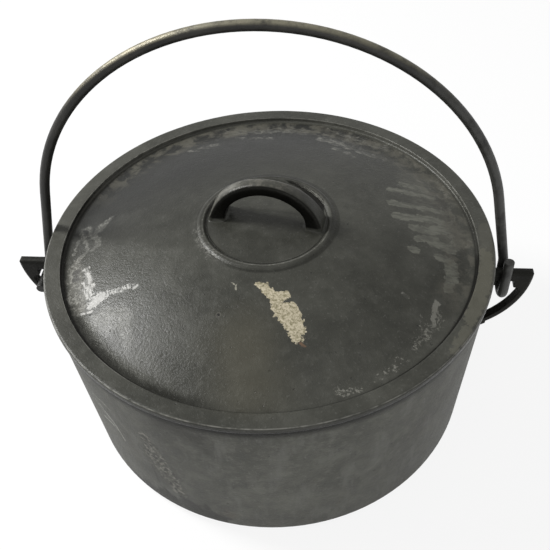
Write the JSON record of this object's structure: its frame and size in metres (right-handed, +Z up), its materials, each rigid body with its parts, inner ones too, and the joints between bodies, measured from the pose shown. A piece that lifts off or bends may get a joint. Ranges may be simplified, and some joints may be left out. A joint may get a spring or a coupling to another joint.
{
  "type": "dutch oven",
  "caption": "Round cast-iron dutch oven with a flanged domed lid, a strap handle on the lid, cast ears on the pot, and a swinging wire bail.",
  "frame": {"origin": "centre of the pot's flat underside", "axes": "+Z up; the ears lie on the X axis; the bail's hooks open towards -Y, the side the picture was taken from"},
  "size_m": [0.3116, 0.26, 0.2561],
  "materials": {
    "pot": "seasoned, satin, scuffed",
    "lid": "seasoned, satin, scuffed and flaking",
    "bail": "dark, worn"
  },
  "bodies": {
    "pot": {"pot": "pot"},
    "lid": {"lid": "lid"},
    "bail": {"bail": "bail"}
  },
  "joints": [
    {"name": "bail_swing", "type": "hinge", "parent": "pot", "child": "bail", "pos_m": [0, 0, 0.0964], "axis": [1, 0, 0], "range_deg": [-120, 120]},
    {"name": "lid_lift", "type": "slide", "parent": "pot", "child": "lid", "axis": [0, -0.866, 0.5], "range_m": [0, 0.3]}
  ]
}
